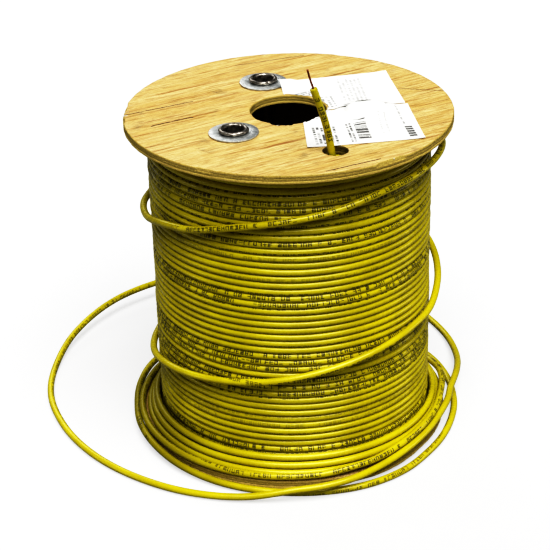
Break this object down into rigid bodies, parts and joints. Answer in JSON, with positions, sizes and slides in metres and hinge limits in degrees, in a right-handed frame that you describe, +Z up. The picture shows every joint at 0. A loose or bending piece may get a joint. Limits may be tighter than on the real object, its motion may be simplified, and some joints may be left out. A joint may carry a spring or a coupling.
{
  "type": "wire spool",
  "caption": "Plywood reel of yellow single-conductor underground wire, with slack turns round the winding and a loose loop on the floor.",
  "frame": {"origin": "on the arbor axis, at the height of the reel's centre of mass, 93.4 mm above the floor it stands on", "axes": "+Z up along the arbor axis, towards the flange that carries the labels; the start end of the wire comes up on the -Y side"},
  "size_m": [0.2497, 0.2661, 0.2326],
  "materials": {
    "plywood": "raw softwood plywood, sanded",
    "paperboard": "spiral-wound paperboard",
    "tube_steel": "bright mill steel, flared",
    "zinc_plate": "zinc plated",
    "yellow_jacket": "satin polyethylene jacket",
    "copper": "bare copper, tarnished",
    "label_paper": "white adhesive paper"
  },
  "bodies": {
    "reel": {"top_flange": "plywood", "bottom_flange": "plywood", "barrel": "paperboard", "tie_tube_1": "tube_steel", "tie_tube_2": "tube_steel", "tie_tube_3": "tube_steel", "top_washer_1": "zinc_plate", "top_washer_2": "zinc_plate", "top_washer_3": "zinc_plate", "bottom_washer_1": "zinc_plate", "bottom_washer_2": "zinc_plate", "bottom_washer_3": "zinc_plate", "wire_pack": "yellow_jacket", "base_turn_1": "yellow_jacket", "base_turn_2": "yellow_jacket", "base_turn_3": "yellow_jacket", "base_turn_4": "yellow_jacket", "base_turn_5": "yellow_jacket", "floor_turn": "yellow_jacket", "label_upper": "label_paper", "label_lower": "label_paper"},
    "upper_slack": {"slack_turn_upper": "yellow_jacket"},
    "middle_slack": {"slack_turn_middle": "yellow_jacket"},
    "floor_loop": {"floor_loop": "yellow_jacket"},
    "start_end": {"start_end_jacket": "yellow_jacket", "start_end_conductor": "copper"}
  },
  "joints": [
    {"name": "upper_slack_slip", "type": "hinge", "parent": "reel", "child": "upper_slack", "pos_m": [0, 0, 0.0586], "axis": [0, 0, 1], "range_deg": [-12, 12]},
    {"name": "middle_slack_slip", "type": "hinge", "parent": "reel", "child": "middle_slack", "pos_m": [0, 0, -0.0194], "axis": [0, 0, 1], "range_deg": [-12, 12]},
    {"name": "floor_loop_slip", "type": "hinge", "parent": "reel", "child": "floor_loop", "pos_m": [0, 0, -0.0834], "axis": [0, 0, 1], "range_deg": [-1, 6]},
    {"name": "start_end_lean", "type": "hinge", "parent": "reel", "child": "start_end", "pos_m": [0.0219, -0.0613, 0.0909], "axis": [0, 1, 0], "range_deg": [-8, 30]}
  ]
}
